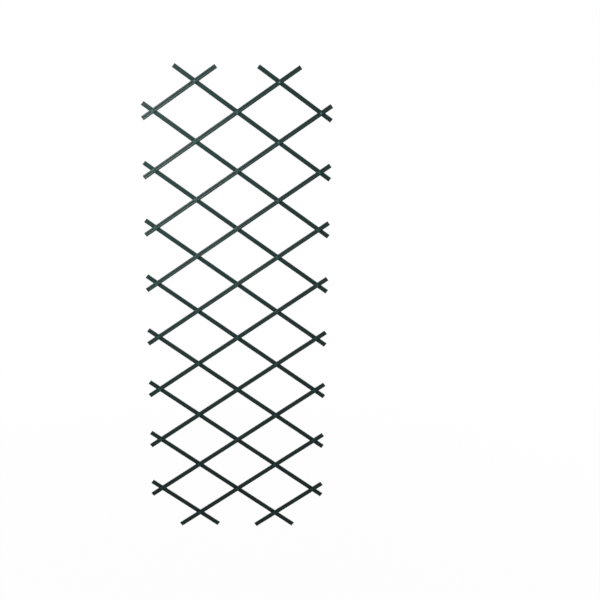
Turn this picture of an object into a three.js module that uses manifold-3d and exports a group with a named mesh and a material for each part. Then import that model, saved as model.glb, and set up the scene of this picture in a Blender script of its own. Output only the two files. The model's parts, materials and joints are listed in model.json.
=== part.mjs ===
// Expandable trellis: two layers of hollow plastic slats, crossed like open scissors and
// joined by a hollow rivet at every crossing, so that the whole lattice folds flat.
// Lengths are in millimetres and +Z is up. The front layer faces -Y and the wall is at +Y.
// The origin is the middle of the opened lattice, halfway between the two layers.

import * as THREE from 'three';
import { mergeVertices } from 'three/addons/utils/BufferGeometryUtils.js';
import Module from 'manifold-3d';

const wasm = await Module();
wasm.setup();

// Lattice. Columns run left to right and rows from the top down. A rivet stands at
// each place whose column and row numbers, counted from 0, add up to an odd number.
const COLUMNS = 5;
const ROWS = 17;
const PITCH = 142;
const OPEN_ANGLE_DEG = 36;
const SIDE_TAIL = 35.5;
const END_TAIL = 71;

// Slat, an extruded hollow strip with a flat mating face and two broad ribs outside
const SLAT_WIDTH = 12.5;
const SLAT_DEPTH = 5;
const SLAT_WALL = 0.9;
const RIB_RISE = 0.8;
const RIB_CREST_WIDTH = 2.2;
const EDGE_CHAMFER = 0.5;

// Hollow rivet, a tube whose ends are rolled over into flat rings
const BORE_RADIUS = 1.5;
const RIVET_WALL = 0.8;
const RING_OVERHANG = 2.2;
const RING_THICKNESS = 0.9;
const RING_BEVEL = 0.45;
const RIVET_SIDES = 10;
const HOLE_SIDES = 8;

// Clearances
const LAYER_GAP = 0.3;
const PIVOT_CLEARANCE = 0.3;
const SEAT_CLEARANCE = 0.3;
const CUT_OVERRUN = 3;

// Places and sizes worked out from the ones above
const OPEN_ANGLE = THREE.MathUtils.degToRad(OPEN_ANGLE_DEG);
const COLUMN_STEP = PITCH * Math.cos(OPEN_ANGLE);
const ROW_STEP = PITCH * Math.sin(OPEN_ANGLE);
const LAST_COLUMN = COLUMNS - 1;
const LAST_ROW = ROWS - 1;
const MATING_FACE = LAYER_GAP / 2;
const RIB_SHOULDER = MATING_FACE + SLAT_DEPTH - RIB_RISE;
const RIB_CREST = MATING_FACE + SLAT_DEPTH;
const SHANK_RADIUS = BORE_RADIUS + RIVET_WALL;
const RING_SEAT = RIB_CREST + SEAT_CLEARANCE;
const RING_FACE = RING_SEAT + RING_THICKNESS;
const HOLE_RADIUS = (SHANK_RADIUS + PIVOT_CLEARANCE) / Math.cos(Math.PI / HOLE_SIDES);

// Which way each layer looks along Y
const FRONT = -1;
const BACK = 1;

const slatPlastic = new THREE.MeshStandardMaterial({
  color: new THREE.Color(0.125, 0.235, 0.205).convertSRGBToLinear(),
  roughness: 0.42,
  metalness: 0,
});
const rivetLacquer = new THREE.MeshStandardMaterial({
  color: new THREE.Color(0.150, 0.275, 0.240).convertSRGBToLinear(),
  roughness: 0.32,
  metalness: 0.25,
});

// Closed geometry to solid and back
function solidOf(geometry) {
  const bare = geometry.clone();
  bare.deleteAttribute('normal');
  bare.deleteAttribute('uv');
  const merged = mergeVertices(bare);
  const mesh = new wasm.Mesh({
    numProp: 3,
    vertProperties: merged.attributes.position.array,
    triVerts: merged.index.array,
  });
  return new wasm.Manifold(mesh);
}

function geometryOf(solid) {
  const mesh = solid.getMesh();
  const geometry = new THREE.BufferGeometry();
  geometry.setAttribute('position', new THREE.BufferAttribute(mesh.vertProperties, 3));
  geometry.setIndex(new THREE.BufferAttribute(mesh.triVerts, 1));
  geometry.computeVertexNormals();
  return geometry;
}

// A broad rib with sloping flanks, drawn from right to left on the shoulder line
function addRib(outline, middle) {
  outline.lineTo(middle + SLAT_WIDTH / 4, RIB_SHOULDER);
  outline.lineTo(middle + RIB_CREST_WIDTH / 2, RIB_CREST);
  outline.lineTo(middle - RIB_CREST_WIDTH / 2, RIB_CREST);
}

// The slat's section: width along the shape's x, distance from the mid plane along its y
function slatSection() {
  const edge = SLAT_WIDTH / 2;
  const outline = new THREE.Shape();
  outline.moveTo(-edge + EDGE_CHAMFER, MATING_FACE);
  outline.lineTo(edge - EDGE_CHAMFER, MATING_FACE);
  outline.lineTo(edge, MATING_FACE + EDGE_CHAMFER);
  addRib(outline, edge / 2);
  addRib(outline, -edge / 2);
  outline.lineTo(-edge, RIB_SHOULDER);
  outline.lineTo(-edge, MATING_FACE + EDGE_CHAMFER);
  outline.closePath();

  const side = edge - SLAT_WALL;
  const floor = MATING_FACE + SLAT_WALL;
  const roof = RIB_SHOULDER - SLAT_WALL;
  const hollow = new THREE.Path();
  hollow.moveTo(-side, floor);
  hollow.lineTo(-side, roof);
  hollow.lineTo(side, roof);
  hollow.lineTo(side, floor);
  hollow.closePath();
  outline.holes.push(hollow);
  return outline;
}

// A straight round cutter through both layers, at a distance along the slat
function pivotCutter(radius, along) {
  const height = 2 * (RIB_CREST + CUT_OVERRUN);
  const cutter = new THREE.CylinderGeometry(radius, radius, height, HOLE_SIDES);
  cutter.translate(along, 0, 0);
  return solidOf(cutter);
}

// A hollow rivet about the Y axis, the same at both ends
function rivetGeometry() {
  const rim = SHANK_RADIUS + RING_OVERHANG;
  const profile = [
    new THREE.Vector2(BORE_RADIUS, RING_FACE),
    new THREE.Vector2(BORE_RADIUS, -RING_FACE),
    new THREE.Vector2(rim - RING_BEVEL, -RING_FACE),
    new THREE.Vector2(rim, -RING_SEAT),
    new THREE.Vector2(SHANK_RADIUS, -RING_SEAT),
    new THREE.Vector2(SHANK_RADIUS, RING_SEAT),
    new THREE.Vector2(rim, RING_SEAT),
    new THREE.Vector2(rim - RING_BEVEL, RING_FACE),
    new THREE.Vector2(BORE_RADIUS, RING_FACE),
  ];
  return new THREE.LatheGeometry(profile, RIVET_SIDES);
}

// A slat along +X with its first pivot at the origin. A fused pivot carries its rivet.
function slatGeometry(slat) {
  const { pivots, layer } = slat;
  const length = tailAt(pivots[0]) + (pivots.length - 1) * PITCH + tailAt(pivots.at(-1));
  const bar = new THREE.ExtrudeGeometry(slatSection(), { depth: length, bevelEnabled: false });
  const along = new THREE.Vector3(1, 0, 0);
  const out = new THREE.Vector3(0, layer, 0);
  const across = new THREE.Vector3().crossVectors(out, along);
  bar.applyMatrix4(new THREE.Matrix4().makeBasis(across, out, along));
  bar.translate(-tailAt(pivots[0]), 0, 0);

  let solid = solidOf(bar);
  pivots.forEach((pivot, index) => {
    const fused = isFused(slat, pivot);
    const radius = fused ? BORE_RADIUS + RIVET_WALL / 2 : HOLE_RADIUS;
    solid = solid.subtract(pivotCutter(radius, index * PITCH));
    if (fused) {
      const rivet = rivetGeometry().translate(index * PITCH, 0, 0);
      solid = solid.add(solidOf(rivet));
    }
  });
  return geometryOf(solid);
}

// How far a slat runs past its last rivet, at a side or at the top or bottom
function tailAt(pivot) {
  const atSide = pivot.column === 0 || pivot.column === LAST_COLUMN;
  return atSide ? SIDE_TAIL : END_TAIL;
}

// The shortest front slats, in two corners, are made in one with their side rivet
function isFused(slat, pivot) {
  const short = slat.layer === FRONT && slat.pivots.length === 2;
  const atSide = pivot.column === 0 || pivot.column === LAST_COLUMN;
  return short && atSide;
}

function placeOf(pivot) {
  const x = (pivot.column - LAST_COLUMN / 2) * COLUMN_STEP;
  const z = (LAST_ROW / 2 - pivot.row) * ROW_STEP;
  return new THREE.Vector3(x, 0, z);
}

// Every slat of a layer with its pivots from left to right. A front slat rises to the
// right, so its column and row add up to the same sum; a back slat falls to the right.
function slatsOf(layer) {
  const slats = [];
  const steps = COLUMNS + ROWS - 1;
  for (let step = 0; step < steps; step += 1) {
    const pivots = [];
    for (let column = 0; column < COLUMNS; column += 1) {
      const row = layer === FRONT ? step - column : step - LAST_COLUMN + column;
      if ((column + row) % 2 !== 0 && row >= 0 && row <= LAST_ROW) {
        pivots.push({ column, row });
      }
    }
    if (pivots.length > 0) {
      slats.push({ layer, pivots });
    }
  }
  return slats;
}

function twoDigits(number) {
  return String(number).padStart(2, '0');
}

function slatMesh(slat, name) {
  const mesh = new THREE.Mesh(slatGeometry(slat), slatPlastic.clone());
  mesh.name = name;
  mesh.position.copy(placeOf(slat.pivots[0]));
  mesh.rotation.y = slat.layer * OPEN_ANGLE;
  return mesh;
}

function rivetMesh(pivot) {
  const mesh = new THREE.Mesh(rivetGeometry(), rivetLacquer.clone());
  mesh.name = `rivet_c${pivot.column}_r${twoDigits(pivot.row)}`;
  mesh.position.copy(placeOf(pivot));
  mesh.rotation.y = FRONT * OPEN_ANGLE;
  return mesh;
}

const trellis = new THREE.Group();
const frontSlats = slatsOf(FRONT);
const backSlats = slatsOf(BACK);

frontSlats.forEach((slat, index) => {
  trellis.add(slatMesh(slat, `front_slat_${twoDigits(index + 1)}`));
  slat.pivots
    .filter((pivot) => !isFused(slat, pivot))
    .forEach((pivot) => trellis.add(rivetMesh(pivot)));
});
backSlats.forEach((slat, index) => {
  trellis.add(slatMesh(slat, `back_slat_${twoDigits(index + 1)}`));
});

export default trellis;
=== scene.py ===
# %% [markdown]
# # An expandable plastic trellis
#
# A garden trellis that folds like scissors: two layers of hollow plastic slats, crossed in
# diamonds, with a hollow rivet at every crossing. Pull the ends apart and all the rivets
# turn together. A model of this motion comes in as a frame of plain solids. This script
# dresses each solid with a finer piece in the same place, gives the pieces their plastic
# and lacquer, and sets up a floor, soft light and a camera.

# %% Load the frame
import json
import math

import bmesh
import bpy
from mathutils import Matrix, Vector


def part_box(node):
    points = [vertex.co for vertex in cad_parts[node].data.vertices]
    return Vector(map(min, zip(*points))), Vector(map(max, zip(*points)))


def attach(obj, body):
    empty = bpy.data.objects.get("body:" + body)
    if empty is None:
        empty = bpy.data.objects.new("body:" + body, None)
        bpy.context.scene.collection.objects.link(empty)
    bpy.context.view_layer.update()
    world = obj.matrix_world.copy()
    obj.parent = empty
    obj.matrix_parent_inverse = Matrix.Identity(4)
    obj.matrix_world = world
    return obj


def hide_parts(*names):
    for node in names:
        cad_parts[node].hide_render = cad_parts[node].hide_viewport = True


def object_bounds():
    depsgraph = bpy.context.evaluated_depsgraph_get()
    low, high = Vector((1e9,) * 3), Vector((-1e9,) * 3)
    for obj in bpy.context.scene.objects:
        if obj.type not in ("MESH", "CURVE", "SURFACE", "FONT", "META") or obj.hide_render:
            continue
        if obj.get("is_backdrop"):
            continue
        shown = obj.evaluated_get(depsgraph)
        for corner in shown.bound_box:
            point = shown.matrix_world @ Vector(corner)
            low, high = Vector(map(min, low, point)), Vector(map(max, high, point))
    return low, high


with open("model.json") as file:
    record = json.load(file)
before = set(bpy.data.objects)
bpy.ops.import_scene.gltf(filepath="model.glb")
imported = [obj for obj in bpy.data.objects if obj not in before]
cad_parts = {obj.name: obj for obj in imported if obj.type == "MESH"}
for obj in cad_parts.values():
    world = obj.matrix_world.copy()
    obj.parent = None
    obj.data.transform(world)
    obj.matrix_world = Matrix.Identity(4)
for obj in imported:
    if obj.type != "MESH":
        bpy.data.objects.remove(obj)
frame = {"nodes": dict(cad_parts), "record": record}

cad_low, cad_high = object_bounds()
bodies = frame["record"]["behaviour"]["bodies"]
body_of_node = {node: body for body, nodes in bodies.items() for node in nodes}
print("frame:", len(body_of_node), "solids on", len(bodies), "moving bodies")
print("its size in metres:", [round(side, 4) for side in cad_high - cad_low])

# %% [markdown]
# ## The lattice
#
# Every place in the lattice follows from a few numbers, so they come first. Columns run
# from left to right and rows from the top down, both from 0, and a rivet stands wherever
# column and row add up to an odd number. The distance between neighbouring rivets along a
# slat is fixed, because the holes are punched, so the opening angle alone spreads or
# narrows the whole lattice. One unit here is a metre, so lengths in millimetres carry MM.

# %% The lattice's numbers
MM = 0.001
COLUMNS = 5
ROWS = 17
PITCH = 142 * MM
OPEN_ANGLE = math.radians(36)
SIDE_TAIL = 35.5 * MM
END_TAIL = 71 * MM
FRONT, BACK = -1, 1


def crossing_place(column, row):
    """Where the middle of a crossing is, in the lattice's own plane."""
    across = (column - (COLUMNS - 1) / 2) * PITCH * math.cos(OPEN_ANGLE)
    up = ((ROWS - 1) / 2 - row) * PITCH * math.sin(OPEN_ANGLE)
    return Vector((across, 0, up))


def slats_of(layer):
    """Each slat of a layer as the list of its crossings, from left to right."""
    slats = []
    for step in range(COLUMNS + ROWS - 1):
        crossings = []
        for column in range(COLUMNS):
            row = step - column if layer == FRONT else step - (COLUMNS - 1) + column
            if 0 <= row < ROWS and (column + row) % 2:
                crossings.append((column, row))
        if crossings:
            slats.append(crossings)
    return slats


def rivet_name(column, row):
    """What the frame calls the rivet at a crossing."""
    return f"rivet_c{column}_r{row:02d}"


all_crossings = [(c, r) for c in range(COLUMNS) for r in range(ROWS) if (c + r) % 2]
rivets_on_slats = [len(crossings) for crossings in slats_of(FRONT)]
print(len(all_crossings), "crossings; rivets per front slat:", rivets_on_slats)

# %% [markdown]
# A short test pays off before any modelling: the middles of the frame's own rivets should
# lie where these numbers say.

# %% Compare the numbers with the frame
worst = 0
for crossing in all_crossings:
    node = rivet_name(*crossing)
    if node in frame["nodes"]:
        low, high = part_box(node)
        worst = max(worst, ((low + high) / 2 - crossing_place(*crossing)).length)
print(f"the frame's rivets lie within {worst / MM:.2f} mm of the numbers")

# %% [markdown]
# ## A slat's section
#
# The slats are extruded: soft plastic is pushed through a die and comes out as one long
# hollow strip, flat where the two layers meet and with two broad ribs outside. A box with
# ribs laid on it would do, but a real extrusion has one outline for its whole length. So
# the outline is one flat face with nine corners. An inset draws the hollow with the same
# wall all round, and bevelling the vertices of both loops rounds them as the die does.

# %% Draw the section
SLAT_WIDTH = 12.5 * MM
SLAT_WALL = 0.9 * MM
MATING_FACE = 0.15 * MM
RIB_SHOULDER = 4.35 * MM
RIB_CREST = 5.15 * MM
RIB_CREST_WIDTH = 2.2 * MM
OUTER_ROUNDING = 0.75 * MM
INNER_ROUNDING = 0.3 * MM
EDGES_PER_CORNER = 4


def round_corners(shape, corners, reach):
    """Round corners of a flat face with a few short edges each."""
    bmesh.ops.bevel(shape, geom=corners, offset=reach, offset_type='OFFSET',
                    affect='VERTICES', segments=EDGES_PER_CORNER, profile=0.5, material=-1)


def slat_section():
    """The wall of a slat as a flat ring of faces across its left end."""
    edge, rib, half_crest = SLAT_WIDTH / 2, SLAT_WIDTH / 4, RIB_CREST_WIDTH / 2
    right = [(edge, MATING_FACE), (edge, RIB_SHOULDER),
             (rib + half_crest, RIB_CREST), (rib - half_crest, RIB_CREST)]
    left = [(-across, out) for across, out in reversed(right)]
    section = bmesh.new()
    hollow = section.faces.new([section.verts.new((0, out, across))
                                for across, out in right + [(0, RIB_SHOULDER)] + left])
    section.normal_update()
    bmesh.ops.inset_individual(section, faces=[hollow], thickness=SLAT_WALL,
                               use_even_offset=True)

    # The edges between the two loops go, so that each loop can be rounded by itself
    inner = set(hollow.verts)
    between = [e for e in section.edges if len(inner.intersection(e.verts)) == 1]
    bmesh.ops.delete(section, geom=between, context='EDGES')
    outer = [v for v in section.verts if v not in inner]
    bmesh.ops.contextual_create(section, geom=[e for e in section.edges if not e.link_faces])
    round_corners(section, list(inner), INNER_ROUNDING)
    round_corners(section, outer, OUTER_ROUNDING)
    bmesh.ops.delete(section, geom=list(section.faces), context='FACES_ONLY')
    bmesh.ops.bridge_loops(section, edges=list(section.edges))
    return section


section = slat_section()
print("the section's wall is a ring of", len(section.faces), "small faces")
section.free()

# %% [markdown]
# ## From section to strip
#
# Extruding the ring of faces gives the whole strip with its two sawn ends, and a tiny bevel
# breaks the rims of those ends, so that they catch a thin line of light. The strip lies
# along X with its first hole at the origin: that keeps the modelling simple, and the same
# strip can be laid in any place later. A loop of edges across the strip goes in on either
# side of each hole to come. It keeps the faces that a hole breaks up short, and the long
# ones between the holes plain, so that no thin line of uneven shading runs along the slat.

# %% Extrude a strip
RIM_BEVEL = 0.12 * MM
RIM_ANGLE = math.radians(80)
LOOP_FROM_HOLE = 5 * MM


def slat_strip(holes):
    """A strip with room for a number of holes, its side tail at the left."""
    right_tail = SIDE_TAIL if holes == COLUMNS else END_TAIL
    length = SIDE_TAIL + (holes - 1) * PITCH + right_tail
    strip = slat_section()
    pushed = bmesh.ops.extrude_face_region(strip, geom=list(strip.faces))["geom"]
    right_end = [v for v in pushed if isinstance(v, bmesh.types.BMVert)]
    bmesh.ops.translate(strip, verts=right_end, vec=(length, 0, 0))
    bmesh.ops.translate(strip, verts=list(strip.verts), vec=(-SIDE_TAIL, 0, 0))
    bmesh.ops.recalc_face_normals(strip, faces=list(strip.faces))
    rims = [e for e in strip.edges if e.calc_face_angle() > RIM_ANGLE
            and abs(e.verts[0].co.x - e.verts[1].co.x) < RIM_BEVEL]
    bmesh.ops.bevel(strip, geom=rims, offset=RIM_BEVEL, offset_type='OFFSET',
                    affect='EDGES', segments=2, profile=0.5, material=-1)
    for hole in range(holes):
        for side in (-LOOP_FROM_HOLE, LOOP_FROM_HOLE):
            everything = strip.verts[:] + strip.edges[:] + strip.faces[:]
            bmesh.ops.bisect_plane(strip, geom=everything, plane_no=(1, 0, 0),
                                   plane_co=(hole * PITCH + side, 0, 0))
    return strip


strip = slat_strip(COLUMNS)
ends = [v.co.x for v in strip.verts]
print(f"the longest strip is {(max(ends) - min(ends)) / MM:.1f} mm long")
strip.free()

# %% [markdown]
# ## The holes
#
# On the real slat a press punches the holes, and setting the rivet flattens the rib crests
# under its ring a little. A stepped drill makes both at once: its stem is the hole and its
# shoulder is the flat seat. Half of its outline, spun round the axis, is the drill. One
# Boolean modifier with all the drills in one object cuts the strip, which is quicker and
# cleaner than cutting hole by hole.

# %% Shape the drills
HOLE_RADIUS = 2.65 * MM
SEAT_RADIUS = 4.75 * MM
SEAT_FLOOR = 5.0 * MM
DRILL_REACH = 7 * MM
ROUND_STEPS = 40
SEAM_GAP = 0.001 * MM


def mesh_of(name, shape):
    """Store a bmesh as a mesh, and free it."""
    mesh = bpy.data.meshes.new(name)
    shape.to_mesh(mesh)
    shape.free()
    return mesh


def spin_about_y(shape, points, edges):
    """Spin an outline in the XY plane about the Y axis into a closed shape."""
    bmesh.ops.spin(shape, geom=points + edges, cent=(0, 0, 0), axis=(0, 1, 0),
                   dvec=(0, 0, 0), angle=math.tau, steps=ROUND_STEPS, use_merge=True)
    bmesh.ops.remove_doubles(shape, verts=list(shape.verts), dist=SEAM_GAP)
    bmesh.ops.recalc_face_normals(shape, faces=list(shape.faces))


def stepped_drill():
    """One drill as a mesh, its axis along Y and its shoulder facing the mating side."""
    outline = [(0, -DRILL_REACH), (HOLE_RADIUS, -DRILL_REACH), (HOLE_RADIUS, SEAT_FLOOR),
               (SEAT_RADIUS, SEAT_FLOOR), (SEAT_RADIUS, DRILL_REACH), (0, DRILL_REACH)]
    shape = bmesh.new()
    points = [shape.verts.new((radius, out, 0)) for radius, out in outline]
    edges = [shape.edges.new(pair) for pair in zip(points, points[1:])]
    spin_about_y(shape, points, edges)
    return mesh_of("stepped_drill", shape)


drill = stepped_drill()
print("a drill has", len(drill.polygons), "faces")

# %% [markdown]
# The finished strip gets smooth shading, with sharp edges where faces meet at more than 35
# degrees. Weighted normals then keep the broad flat faces evenly lit up to their rounded
# edges, which plain smooth shading would darken. A cut also leaves some points on top of
# each other, and faces with over a hundred corners. The points are merged, and once the
# normals are settled the faces are split, so that no triangle of the mesh is empty.

# %% Cut and shade the slats
SHARP_FROM = math.radians(35)
SAME_POINT = 0.005 * MM
SPLIT_FROM_CORNERS = 5


def add_object(name, data):
    """Put a mesh, a lamp or a camera into the scene as an object."""
    made = bpy.data.objects.new(name, data)
    bpy.context.scene.collection.objects.link(made)
    return made


def work_in(made):
    """Work an object's modifiers into a mesh of its own, and take the object away."""
    bpy.context.view_layer.update()
    seen = made.evaluated_get(bpy.context.evaluated_depsgraph_get())
    mesh = bpy.data.meshes.new_from_object(seen)
    bpy.data.objects.remove(made)
    return mesh


def shaded_evenly(mesh):
    """Smooth shading that keeps sharp edges sharp and flat faces flat."""
    mesh.shade_smooth()
    mesh.set_sharp_from_angle(angle=SHARP_FROM)
    made = add_object("shading", mesh)
    even = made.modifiers.new("even_shading", 'WEIGHTED_NORMAL')
    even.keep_sharp = True
    split = made.modifiers.new("split_big_faces", 'TRIANGULATE')
    split.min_vertices, split.keep_custom_normals = SPLIT_FROM_CORNERS, True
    return work_in(made)


def merge_points(mesh):
    """Merge the points that a cut left on top of each other."""
    shape = bmesh.new()
    shape.from_mesh(mesh)
    bmesh.ops.remove_doubles(shape, verts=list(shape.verts), dist=SAME_POINT)
    shape.to_mesh(mesh)
    shape.free()


def drilled_slat(holes):
    """The finished mesh of a slat with a number of holes, lying along X."""
    drills = bmesh.new()
    for hole in range(holes):
        before = len(drills.verts)
        drills.from_mesh(drill)
        drills.verts.ensure_lookup_table()
        bmesh.ops.translate(drills, verts=drills.verts[before:], vec=(hole * PITCH, 0, 0))
    cutter = add_object("drills", mesh_of("drills", drills))
    made = add_object("strip", mesh_of("strip", slat_strip(holes)))
    cut = made.modifiers.new("holes", 'BOOLEAN')
    cut.operation, cut.solver, cut.object = 'DIFFERENCE', 'EXACT', cutter
    mesh = work_in(made)
    bpy.data.objects.remove(cutter)
    merge_points(mesh)
    return shaded_evenly(mesh)


slat_meshes = {holes: drilled_slat(holes) for holes in (2, 4, 5)}
for holes, mesh in slat_meshes.items():
    print("a slat with", holes, "holes has", len(mesh.polygons), "faces")

# %% [markdown]
# ## Marks that travel with the plastic
#
# The finish will need to know where a point is on its own slat: the lines that the die
# leaves run along the slat, dust gathers in the groove between the ribs, and the sawn ends
# are duller. Two attributes carry that. One keeps each point's place along, out from and
# across the slat, and the other marks the faces of the sawn ends. A different shift along
# each slat keeps its neighbours from showing the same pattern.

# %% Store the marks
END_DEPTH = 2 * RIM_BEVEL


def store_place(mesh, shift=0):
    """Keep every point's place on its own piece, in metres."""
    place = mesh.attributes.new("place", 'FLOAT_VECTOR', 'POINT')
    place.data.foreach_set("vector", [
        part for v in mesh.vertices for part in (v.co.x + shift, v.co.y, v.co.z)])


def store_sawn_ends(mesh):
    """Mark the faces across the two ends with 1."""
    ends = [v.co.x for v in mesh.vertices]
    left, right = min(ends) + END_DEPTH, max(ends) - END_DEPTH
    sawn = mesh.attributes.new("sawn_end", 'FLOAT', 'FACE')
    sawn.data.foreach_set("value", [
        float(not left < face.center.x < right) for face in mesh.polygons])


for mesh in slat_meshes.values():
    store_sawn_ends(mesh)
print("sawn faces per slat:", round(sum(m.value for m in mesh.attributes["sawn_end"].data)))

# %% [markdown]
# ## Lay the slats
#
# The front layer rises to the right and faces the viewer, the back layer falls to the
# right and faces the wall. Both are the same strip. It was modelled with its ribs towards
# the wall, so for the front layer it is only turned over. A slat that isn't full length has
# its short tail at the side of the lattice, so where that side is the right one, the strip
# lies the other way round. Each slat then stands for its solid of the frame and rides on
# the same moving body.

# %% Place twenty slats
SHIFT_PER_SLAT = 0.9
slat_pieces = []


def lay_slat(name, layer, crossings, number):
    """Copy a strip, turn it into its place, and tie it to the frame."""
    mesh = slat_meshes[len(crossings)].copy()
    store_place(mesh, shift=SHIFT_PER_SLAT * number)
    starts_at_side = crossings[0][0] == 0
    first = crossings[0] if starts_at_side else crossings[-1]
    faces_wall = Matrix.Rotation(0 if layer == BACK else math.pi, 4, 'X')
    end_for_end = Matrix.Rotation(0 if starts_at_side else math.pi, 4, 'Y')
    slope = Matrix.Rotation(layer * OPEN_ANGLE, 4, 'Y')
    place = Matrix.Translation(crossing_place(*first))
    mesh.transform(place @ slope @ end_for_end @ faces_wall)
    slat = add_object(name.replace("slat", "ribbed_slat"), mesh)
    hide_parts(name)
    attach(slat, body_of_node[name])
    slat_pieces.append(slat)


for layer, side in ((FRONT, "front"), (BACK, "back")):
    for index, crossings in enumerate(slats_of(layer), start=1):
        lay_slat(f"{side}_slat_{index:02d}", layer, crossings, len(slat_pieces))
print("laid", len(slat_pieces), "slats")

# %% [markdown]
# ## The rivets
#
# A hollow rivet is a short steel tube. One end comes with a round head, and a tool rolls
# the other end outwards once it is through both slats. Its wall is drawn as one closed
# outline, corner by corner, each with its own rounding: a small flare into the bore, a
# full round rim, a tight lower edge. Spun about its axis it is a ring-ended tube. The rolled
# end is a little smaller, and its rim has eight nicks where the steel stretched and split.
# The bore stays 3 mm wide, so that nearly nothing shows through it from above.

# %% Shape a rivet
RIVET_OUTLINE = [
    # radius, distance out and rounding of each corner, from the head to the rolled end
    (1.50, -6.35, 0.55), (4.50, -6.35, 0.95), (4.50, -5.06, 0.30), (2.30, -5.06, 0.10),
    (2.30, 5.06, 0.10), (4.38, 5.06, 0.35), (4.38, 6.35, 0.85), (1.50, 6.35, 0.60),
]
NICKS = 8
NICK_FROM = 4.0 * MM
NICK_DEPTH = 0.95


def nick_rim(shape):
    """Pull the rolled rim in a little at eight places."""
    nicked = []
    for v in shape.verts:
        step = round(math.atan2(v.co.z, v.co.x) / math.tau * ROUND_STEPS)
        at_nick = step % (ROUND_STEPS // NICKS) == 0
        if at_nick and v.co.y > 0 and math.hypot(v.co.x, v.co.z) > NICK_FROM:
            nicked.append(v)
    bmesh.ops.scale(shape, verts=nicked, vec=(NICK_DEPTH, 1, NICK_DEPTH))
    return len(nicked)


def rivet_mesh():
    """The finished mesh of a rivet about the Y axis, its head at -Y."""
    shape = bmesh.new()
    corners = [shape.verts.new((radius * MM, out * MM, 0))
               for radius, out, _ in RIVET_OUTLINE]
    shape.faces.new(corners)
    shape.normal_update()
    for corner, (_, _, rounding) in zip(corners, RIVET_OUTLINE):
        round_corners(shape, [corner], rounding * MM)
    bmesh.ops.delete(shape, geom=list(shape.faces), context='FACES_ONLY')
    spin_about_y(shape, list(shape.verts), list(shape.edges))
    nicked = nick_rim(shape)
    mesh = mesh_of("rivet", shape)
    print("a rivet has", len(mesh.polygons), "faces;", nicked, "points are nicked")
    return shaded_evenly(mesh)


rivet = rivet_mesh()
store_place(rivet)

# %% [markdown]
# Two rivets of the frame are one solid with the short corner slat that carries them, while
# the other forty are solids of their own. Here all 42 become pieces: the two ride with
# their slat and stand for the same solid as it does. Each rivet is turned by another angle,
# as loose parts from a feeder would be.

# %% Set all the rivets
TURN_PER_RIVET = math.radians(67)
slat_under = {crossing: f"front_slat_{index:02d}"
              for index, crossings in enumerate(slats_of(FRONT), start=1)
              for crossing in crossings}
rivet_pieces = []
for number, crossing in enumerate(all_crossings):
    name = rivet_name(*crossing)
    node = name if name in frame["nodes"] else slat_under[crossing]
    mesh = rivet.copy()
    mesh.transform(Matrix.Translation(crossing_place(*crossing))
                   @ Matrix.Rotation(number * TURN_PER_RIVET, 4, 'Y'))
    piece = add_object(f"hollow_{name}", mesh)
    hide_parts(node)
    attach(piece, body_of_node[node])
    rivet_pieces.append(piece)
print("set", len(rivet_pieces), "rivets")

# %% [markdown]
# ## Finishes
#
# Every finish here is procedural: patterns are worked out from a point's place and no
# picture is used. A short helper adds a node, sets its options and fills its sockets, so
# that the trees below read from top to bottom. Effects that both the plastic and the
# lacquer show are built once as node groups with named sockets and placed in each material
# with its own values. Two more helpers start a material and put it on its pieces. Noise
# runs from 0 to 1 but seldom leaves the middle of that range, so where it should swing a
# value all the way, it is stretched from that middle.

# %% Helpers for node trees
NOISE_MIDDLE = (0.3, 0.7)


def add_node(tree, kind, sockets=None, **options):
    """Add a shader node. A socket is filled with a value, or linked to another node's."""
    node = tree.nodes.new("ShaderNode" + kind)
    for option, value in options.items():
        setattr(node, option, value)
    for socket, value in (sockets or {}).items():
        if isinstance(value, bpy.types.NodeSocket):
            tree.links.new(value, node.inputs[socket])
        else:
            node.inputs[socket].default_value = value
    return node


def noise(tree, place, scale, detail=2.0):
    """Cloudy noise from 0 to 1, at so many patches a metre."""
    sockets = {"Vector": place, "Scale": scale, "Detail": detail}
    return add_node(tree, "TexNoise", sockets).outputs[0]


def maths(tree, operation, first, second=0.0):
    """One sum on two numbers, or on one."""
    return add_node(tree, "Math", {0: first, 1: second}, operation=operation).outputs[0]


def drawn_out(tree, place, factors):
    """A place with each part times a factor. A small one draws a pattern out that way."""
    scaled = add_node(tree, "VectorMath", {0: place, 1: factors}, operation='MULTIPLY')
    return scaled.outputs[0]


def eased(tree, value, low, high, to_low=0.0, to_high=1.0):
    """Carry a value from one range to another with a soft start and end."""
    return add_node(tree, "MapRange", {
        "Value": value, "From Min": low, "From Max": high,
        "To Min": to_low, "To Max": to_high}, interpolation_type='SMOOTHSTEP').outputs[0]


def blended(tree, share, first, second):
    """Mix two colours; share 0 is all the first."""
    node = add_node(tree, "Mix", {0: share, 6: first, 7: second}, data_type='RGBA')
    return node.outputs[2]


def effect_group(name, inputs, outputs):
    """Start a node group with named sockets. Returns its tree, its inputs and its exit."""
    group = bpy.data.node_groups.new(name, 'ShaderNodeTree')
    for direction, sockets in (('INPUT', inputs), ('OUTPUT', outputs)):
        for socket, kind in sockets:
            group.interface.new_socket(socket, in_out=direction,
                                       socket_type="NodeSocket" + kind)
    entry = group.nodes.new("NodeGroupInput")
    leave = group.nodes.new("NodeGroupOutput")
    return group, entry.outputs, leave


def place_effect(tree, group, sockets):
    """Put a node group into a material's tree."""
    return add_node(tree, "Group", sockets, node_tree=group).outputs


def start_material(name):
    """A new material, with its tree and its Principled shader."""
    material = bpy.data.materials.new(name)
    material.use_nodes = True
    return material, material.node_tree, material.node_tree.nodes["Principled BSDF"]


def dress(pieces, material):
    """Give each piece this material and no other."""
    for piece in pieces:
        piece.data.materials.clear()
        piece.data.materials.append(material)


print("helpers are ready")

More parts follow.
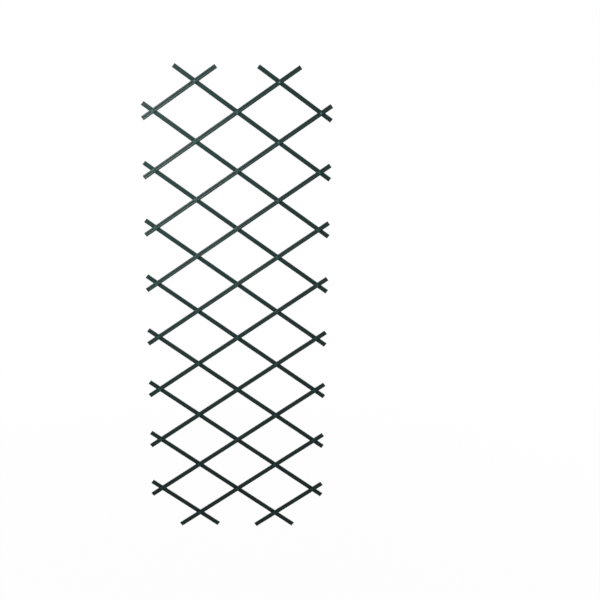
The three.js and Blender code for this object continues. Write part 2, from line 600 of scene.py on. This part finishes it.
# %% [markdown]
# ## Effects shared by plastic and lacquer
#
# Tone drift makes the colour a touch lighter and darker in broad clouds, as pigment and
# thickness do. Fine grain is the faint unevenness of any moulded or sprayed surface: a
# height for the bump, and a slower noise that moves the gloss. Settled dust lays a pale
# tint where it is told to, broken up by noise. Rubbed spots give a mask of small worn
# patches within a region.

# %% Build the shared effects
GLOSS_PER_GRAIN = 0.08
DUSTY_PATCHES = (0.35, 0.75)
SPOT_EDGE = 0.08


def tone_drift():
    """Lighter and darker clouds in a colour."""
    group, given, leave = effect_group(
        "tone drift", [("Colour", "Color"), ("Place", "Vector"), ("Size", "Float"),
                       ("Strength", "Float")], [("Colour", "Color")])
    cloud = noise(group, given["Place"], given["Size"], detail=3.0)
    swing = maths(group, 'MULTIPLY', maths(group, 'SUBTRACT', cloud, 0.5), given["Strength"])
    tone = maths(group, 'ADD', swing, 1.0)
    scaled = add_node(group, "VectorMath", {0: given["Colour"], "Scale": tone},
                      operation='SCALE')
    group.links.new(scaled.outputs[0], leave.inputs["Colour"])
    return group


def fine_grain():
    """Small bumps, and a slower change for the gloss."""
    group, given, leave = effect_group(
        "fine grain", [("Place", "Vector"), ("Size", "Float")],
        [("Height", "Float"), ("Gloss", "Float")])
    bumps = noise(group, given["Place"], given["Size"], detail=4.0)
    group.links.new(bumps, leave.inputs["Height"])
    slower = maths(group, 'MULTIPLY', given["Size"], GLOSS_PER_GRAIN)
    group.links.new(noise(group, given["Place"], slower), leave.inputs["Gloss"])
    return group


def settled_dust():
    """A pale tint over a colour, where a mask asks for it."""
    group, given, leave = effect_group(
        "settled dust", [("Colour", "Color"), ("Dust", "Color"), ("Where", "Float"),
                         ("Place", "Vector"), ("Size", "Float")],
        [("Colour", "Color"), ("Cover", "Float")])
    clouds = noise(group, given["Place"], given["Size"], detail=5.0)
    cover = maths(group, 'MULTIPLY', eased(group, clouds, *DUSTY_PATCHES), given["Where"])
    dusty = blended(group, cover, given["Colour"], given["Dust"])
    group.links.new(dusty, leave.inputs["Colour"])
    group.links.new(cover, leave.inputs["Cover"])
    return group


def rubbed_spots():
    """A mask of small worn patches within a region."""
    group, given, leave = effect_group(
        "rubbed spots", [("Where", "Float"), ("Place", "Vector"), ("Size", "Float"),
                         ("Threshold", "Float")], [("Mask", "Float")])
    broken = noise(group, given["Place"], given["Size"], detail=6.0)
    above = maths(group, 'SUBTRACT', broken, given["Threshold"])
    spots = eased(group, above, 0.0, SPOT_EDGE)
    group.links.new(maths(group, 'MULTIPLY', spots, given["Where"]), leave.inputs["Mask"])
    return group


drift, grain, dust, rub = tone_drift(), fine_grain(), settled_dust(), rubbed_spots()
print("shared effects:", [group.name for group in (drift, grain, dust, rub)])

# %% [markdown]
# ## Slat plastic
#
# The slats are dark bottle-green plastic with a satin sheen. The die leaves fine lines
# along the whole length, so noise is stretched a hundredfold along the slat: it tints the
# colour in streaks, moves the gloss and raises faint ridges. Dust sits in the groove, the
# crests are rubbed here and there from handling, and the sawn ends are paler and dull. The
# specular level is low, because the pigment is matte. A region such as the groove is found
# from the stored place, and fades in between two distances.

# %% Make the slat plastic
BOTTLE_GREEN = (0.0138, 0.0368, 0.0325, 1)
GROOVE_DUST = (0.12, 0.13, 0.11, 1)
RUBBED_GREEN = (0.06, 0.10, 0.085, 1)
SAWN_DARK, SAWN_PALE = (0.020, 0.050, 0.042, 1), (0.085, 0.14, 0.12, 1)

# Factors that draw noise out along the slat and across its end
ALONG_THE_SLAT = (0.01, 1, 1)
ACROSS_THE_END = (1, 1, 0.06)

# Where each region fades in: from the slat's middle line, and twice from the mating side
GROOVE_SIDES = (1.2 * MM, 0.2 * MM)
GROOVE_FLOOR = (3.6 * MM, 4.2 * MM)
RIB_CRESTS = (4.95 * MM, 5.15 * MM)

# How much of the dust and the wear these regions get
GROOVE_DUST_SHARE = 0.35
CREST_WEAR = 0.6

# Roughness of the plastic, what the die's lines and the dust add to it, and of a sawn end
PLASTIC_ROUGHNESS = (0.27, 0.37)
LINES_ADD = (-0.08, 0.08)
DUST_ADDS = 0.5
SAWN_ROUGHNESS = 0.8


def place_parts(tree):
    """The stored place as a vector, and split into its three parts."""
    place = add_node(tree, "Attribute", attribute_name="place").outputs["Vector"]
    return place, add_node(tree, "SeparateXYZ", {0: place}).outputs


def slat_plastic():
    """Dark green extruded plastic, for a slat that has its marks stored."""
    material, tree, shader = start_material("slat_plastic_bottle_green")
    place, (_, out, across) = place_parts(tree)

    # Lines of the die: the place is squeezed along the slat before the noise reads it
    squeezed = drawn_out(tree, place, ALONG_THE_SLAT)
    lines = noise(tree, squeezed, scale=2200, detail=3.0)
    grains = place_effect(tree, grain, {"Place": place, "Size": 2600})

    # Green with drifting tone and fine streaks, a dusty groove and rubbed crests
    clouded = place_effect(tree, drift, {
        "Colour": BOTTLE_GREEN, "Place": place, "Size": 9, "Strength": 0.5})
    toned = place_effect(tree, drift, {
        "Colour": clouded["Colour"], "Place": squeezed, "Size": 900, "Strength": 0.6})
    from_middle = maths(tree, 'ABSOLUTE', across)
    groove = maths(tree, 'MULTIPLY', eased(tree, from_middle, *GROOVE_SIDES),
                   eased(tree, out, *GROOVE_FLOOR))
    dusty = place_effect(tree, dust, {
        "Colour": toned["Colour"], "Dust": GROOVE_DUST, "Place": place, "Size": 60,
        "Where": maths(tree, 'MULTIPLY', groove, GROOVE_DUST_SHARE)})
    crest = eased(tree, out, *RIB_CRESTS)
    rubbed = place_effect(tree, rub, {
        "Where": maths(tree, 'MULTIPLY', crest, CREST_WEAR), "Place": squeezed,
        "Size": 420, "Threshold": 0.56})
    worn = blended(tree, rubbed["Mask"], dusty["Colour"], RUBBED_GREEN)

    # Sawn ends are paler, with the saw's marks across them
    sawn = add_node(tree, "Attribute", attribute_name="sawn_end").outputs["Fac"]
    saw_marks = noise(tree, drawn_out(tree, place, ACROSS_THE_END), scale=5000)
    sawn_colour = blended(tree, saw_marks, SAWN_DARK, SAWN_PALE)
    tree.links.new(blended(tree, sawn, worn, sawn_colour), shader.inputs["Base Color"])

    # Gloss: satin, moved by the lines and the grain, dull under dust and on sawn ends
    gloss = maths(tree, 'ADD', eased(tree, lines, *NOISE_MIDDLE, *LINES_ADD),
                  eased(tree, grains["Gloss"], *NOISE_MIDDLE, *PLASTIC_ROUGHNESS))
    dulled = maths(tree, 'ADD', gloss, maths(tree, 'MULTIPLY', dusty["Cover"], DUST_ADDS))
    sawn_dull = maths(tree, 'MULTIPLY', sawn, SAWN_ROUGHNESS)
    tree.links.new(maths(tree, 'MAXIMUM', dulled, sawn_dull), shader.inputs["Roughness"])
    shader.inputs["Specular IOR Level"].default_value = 0.15

    # Relief, a few hundredths of a millimetre high
    fine = add_node(tree, "Bump", {
        "Height": grains["Height"], "Strength": 0.25, "Distance": 0.03 * MM})
    ridged = add_node(tree, "Bump", {
        "Height": lines, "Strength": 0.6, "Distance": 0.06 * MM, "Normal": fine.outputs[0]})
    tree.links.new(ridged.outputs[0], shader.inputs["Normal"])
    return material


plastic = slat_plastic()
dress(slat_pieces, plastic)
print("plastic:", len(plastic.node_tree.nodes), "nodes on", len(slat_pieces), "slats")

# %% [markdown]
# ## Rivet lacquer
#
# The steel rivets are lacquered green, a little lighter than the plastic and about as
# glossy, with the soft ripple of a sprayed coat. Where the setting tool pressed on the
# ring's crown, and along the nicks of the rolled rim, the lacquer is rubbed through to bare
# steel in tiny spots. Inside the bore some dust stays. The regions are found from a point's
# distance to the rivet's axis and to the lattice's middle plane. Object coordinates feed the
# noise, because every rivet lies in another place and so gets a pattern of its own.

# %% Make the rivet lacquer
LACQUER_GREEN = (0.023, 0.086, 0.075, 1)
BORE_DUST = (0.06, 0.07, 0.06, 1)
BARE_STEEL = (0.42, 0.43, 0.41, 1)
BORE_RADII = (2.3 * MM, 1.6 * MM)
RIM_RADII = (4.15 * MM, 4.4 * MM)
RIM_HEIGHTS = (5.4 * MM, 5.8 * MM)
CROWN_HEIGHTS = (6.15 * MM, 6.33 * MM)
BORE_DUST_SHARE = 0.5
RING_WEAR = 0.5
LACQUER_ROUGHNESS = (0.24, 0.36)
BORE_DUST_ADDS = 0.6


def rivet_lacquer():
    """Green lacquer on steel, for a rivet that has its place stored."""
    material, tree, shader = start_material("rivet_lacquer_green")
    _, (x, out, z) = place_parts(tree)
    where = add_node(tree, "TexCoord").outputs["Object"]
    radius = maths(tree, 'SQRT', maths(tree, 'ADD', maths(tree, 'MULTIPLY', x, x),
                                       maths(tree, 'MULTIPLY', z, z)))
    height = maths(tree, 'ABSOLUTE', out)
    grains = place_effect(tree, grain, {"Place": where, "Size": 1500})

    # Green with drifting tone, a dusty bore, and bare steel on the crown and the rim
    toned = place_effect(tree, drift, {
        "Colour": LACQUER_GREEN, "Place": where, "Size": 140, "Strength": 0.5})
    in_bore = eased(tree, radius, *BORE_RADII)
    dusty = place_effect(tree, dust, {
        "Colour": toned["Colour"], "Dust": BORE_DUST, "Place": where, "Size": 700,
        "Where": maths(tree, 'MULTIPLY', in_bore, BORE_DUST_SHARE)})
    crown = eased(tree, height, *CROWN_HEIGHTS)
    rim = maths(tree, 'MULTIPLY', eased(tree, radius, *RIM_RADII),
                eased(tree, height, *RIM_HEIGHTS))
    worn_ring = maths(tree, 'MULTIPLY', maths(tree, 'MAXIMUM', crown, rim), RING_WEAR)
    rubbed = place_effect(tree, rub, {
        "Where": worn_ring, "Place": where, "Size": 1300, "Threshold": 0.62})
    colour = blended(tree, rubbed["Mask"], dusty["Colour"], BARE_STEEL)
    tree.links.new(colour, shader.inputs["Base Color"])
    tree.links.new(rubbed["Mask"], shader.inputs["Metallic"])

    # Gloss that the grain moves, and the coat's ripple
    gloss = eased(tree, grains["Gloss"], *NOISE_MIDDLE, *LACQUER_ROUGHNESS)
    dulled = maths(tree, 'MULTIPLY', dusty["Cover"], BORE_DUST_ADDS)
    tree.links.new(maths(tree, 'ADD', gloss, dulled), shader.inputs["Roughness"])
    shader.inputs["Specular IOR Level"].default_value = 0.16
    ripple = add_node(tree, "Bump", {
        "Height": grains["Height"], "Strength": 0.3, "Distance": 0.05 * MM})
    tree.links.new(ripple.outputs[0], shader.inputs["Normal"])
    return material


lacquer = rivet_lacquer()
dress(rivet_pieces, lacquer)
print("lacquer:", len(lacquer.node_tree.nodes), "nodes on", len(rivet_pieces), "rivets")

# %% [markdown]
# ## Floor and background
#
# The trellis hangs on a screw through the rivet beside its middle, over a broad pale floor.
# Folded to its narrowest it becomes 2.4 m tall and reaches far below that screw, so the
# floor lies low enough to leave it room. The camera looks down, so the floor fills the
# whole background. A lit floor alone would be grey far away. So for rays from the camera,
# and for reflections, most of its colour is an even white, and the rest is ordinary matte
# floor, which keeps the object's shadow. The share of white grows with the distance from
# the object. The sum that tells these rays from the others is a short helper of its own,
# because the sky above the floor needs it too.

# %% Lay the floor
FLOOR_SIZE = 80
HELD_ROW = 7
FLOOR_GAP = 5 * MM
FLOOR_GREY = (0.8, 0.8, 0.8, 1)
WHITE = (1, 1, 1, 1)

# Between these distances the share of white grows from the one value to the other
WHITER_BETWEEN = (0.8, 3.0)
WHITE_SHARES = (0.975, 1.0)

rows_below = ROWS - 1 - HELD_ROW
floor_height = crossing_place(0, HELD_ROW).z - rows_below * PITCH - END_TAIL - FLOOR_GAP


def seen_directly(tree):
    """1 for rays from the camera and for reflections, and 0 for the light on the object."""
    rays = add_node(tree, "LightPath").outputs
    mirrored = maths(tree, 'MAXIMUM', rays["Is Glossy Ray"], rays["Is Transmission Ray"])
    return maths(tree, 'MAXIMUM', rays["Is Camera Ray"], mirrored)


def pale_floor():
    """A wide flat floor that is white where it is seen, but still takes a shadow."""
    shape = bmesh.new()
    bmesh.ops.create_grid(shape, x_segments=1, y_segments=1, size=FLOOR_SIZE / 2)
    bmesh.ops.translate(shape, verts=list(shape.verts), vec=(0, 0, floor_height))
    floor = add_object("pale_floor", mesh_of("pale_floor", shape))

    material, tree, shader = start_material("pale_floor")
    tree.nodes.remove(shader)
    matte = add_node(tree, "BsdfDiffuse", {"Color": FLOOR_GREY})
    white = add_node(tree, "Emission", {"Color": WHITE, "Strength": 1.0})
    where = add_node(tree, "TexCoord").outputs["Object"]
    far = add_node(tree, "VectorMath", {0: where}, operation='LENGTH').outputs["Value"]
    share = maths(tree, 'MULTIPLY', seen_directly(tree),
                  eased(tree, far, *WHITER_BETWEEN, *WHITE_SHARES))
    mixed = add_node(tree, "MixShader", {0: share, 1: matte.outputs[0], 2: white.outputs[0]})
    tree.links.new(mixed.outputs[0], tree.nodes["Material Output"].inputs["Surface"])
    dress([floor], material)
    floor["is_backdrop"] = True
    return floor


floor = pale_floor()
print(f"the floor lies at {floor.data.vertices[0].co.z:.4f} m")

# %% [markdown]
# ## Light
#
# In the photograph the slats that rise to the right have a grey sheen at the upper left,
# while those that fall to the right stay dark, and everything gets darker towards the
# bottom right. Two soft lamps close together at the upper left, in front, do that: the ribs
# of the rising slats mirror them into the camera. A larger lamp behind lights the back. The
# world is white where it is seen or mirrored, as the floor is, and sheds only a little
# light on the object.

# %% Set the lamps and the world
SKY_BLUE = (0.93, 0.96, 1.0, 1)
SKY_STRENGTH = 0.05


def turn_towards(place, aim):
    """The turn of a lamp or camera at one point that looks at another."""
    return (Vector(aim) - Vector(place)).to_track_quat('-Z', 'Y')


def soft_lamp(name, place, aim, size, power, spread):
    """A square lamp that shines from one point towards another, in a cone of some width."""
    data = bpy.data.lights.new(name, 'AREA')
    data.shape, data.size, data.energy = 'SQUARE', size, power
    data.spread = math.radians(spread)
    lamp = add_object(name, data)
    lamp.location = place
    lamp.rotation_euler = turn_towards(place, aim).to_euler()
    lamp.visible_camera = False
    return lamp


def studio_world():
    """A world that is white where it is seen, and lights the object only a little."""
    world = bpy.data.worlds.new("studio")
    world.use_nodes = True
    tree = world.node_tree
    weak = tree.nodes["Background"]
    weak.inputs["Color"].default_value = SKY_BLUE
    weak.inputs["Strength"].default_value = SKY_STRENGTH
    white = add_node(tree, "Background", {"Color": WHITE, "Strength": 1.0})
    sky = add_node(tree, "MixShader", {
        0: seen_directly(tree), 1: weak.outputs[0], 2: white.outputs[0]})
    tree.links.new(sky.outputs[0], tree.nodes["World Output"].inputs["Surface"])
    return world


lamps = [
    soft_lamp("key_lamp", place=(-0.7, -1.0, 0.5), aim=(-0.2, 0, 0.3),
              size=0.5, power=5.3, spread=130),
    soft_lamp("upper_lamp", place=(-0.55, -0.8, 0.75), aim=(-0.2, 0, 0.4),
              size=0.4, power=3.4, spread=130),
    soft_lamp("back_lamp", place=(1.0, 1.6, 1.2), aim=(0, 0, 0.1),
              size=1.2, power=6, spread=90),
]
bpy.context.scene.world = studio_world()
print("lamps:", [lamp.name for lamp in lamps])

# %% [markdown]
# ## Camera
#
# The camera stands 3.5 m away and a good metre above the middle of the trellis, and looks
# down at it by 21 degrees. Its place, aim and lens were worked out from the 42 crossings in
# the photograph. It is turned a little about its own axis, as a camera held by hand is.

# %% Place the camera
CAMERA_PLACE = Vector((105.3, -3307.4, 1294.3)) * MM
CAMERA_AIM = Vector((181.8, 0, 37.0)) * MM
CAMERA_ROLL = math.radians(1.12)
SIGHT_LIMIT = 200

# Blender takes these two in millimetres
SENSOR_WIDTH = 36
FOCAL_LENGTH = 73.38

camera_data = bpy.data.cameras.new("camera")
camera_data.sensor_width = SENSOR_WIDTH
camera_data.lens = FOCAL_LENGTH
camera_data.clip_end = SIGHT_LIMIT
camera = add_object("camera", camera_data)
camera.location = CAMERA_PLACE
looking = turn_towards(CAMERA_PLACE, CAMERA_AIM).to_matrix().to_4x4()
camera.rotation_euler = (looking @ Matrix.Rotation(CAMERA_ROLL, 4, 'Z')).to_euler()
bpy.context.scene.camera = camera
bpy.context.scene.view_settings.view_transform = 'Standard'
print("the camera is", round((CAMERA_AIM - CAMERA_PLACE).length, 3), "m from its aim")

# %% [markdown]
# ## Last measurement
#
# The dressed pieces should be as large as the frame and no larger.

# %% Measure and finish
low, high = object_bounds()
growth = (high - low) - (cad_high - cad_low)
print("growth in mm:", [round(side / MM, 2) for side in growth])
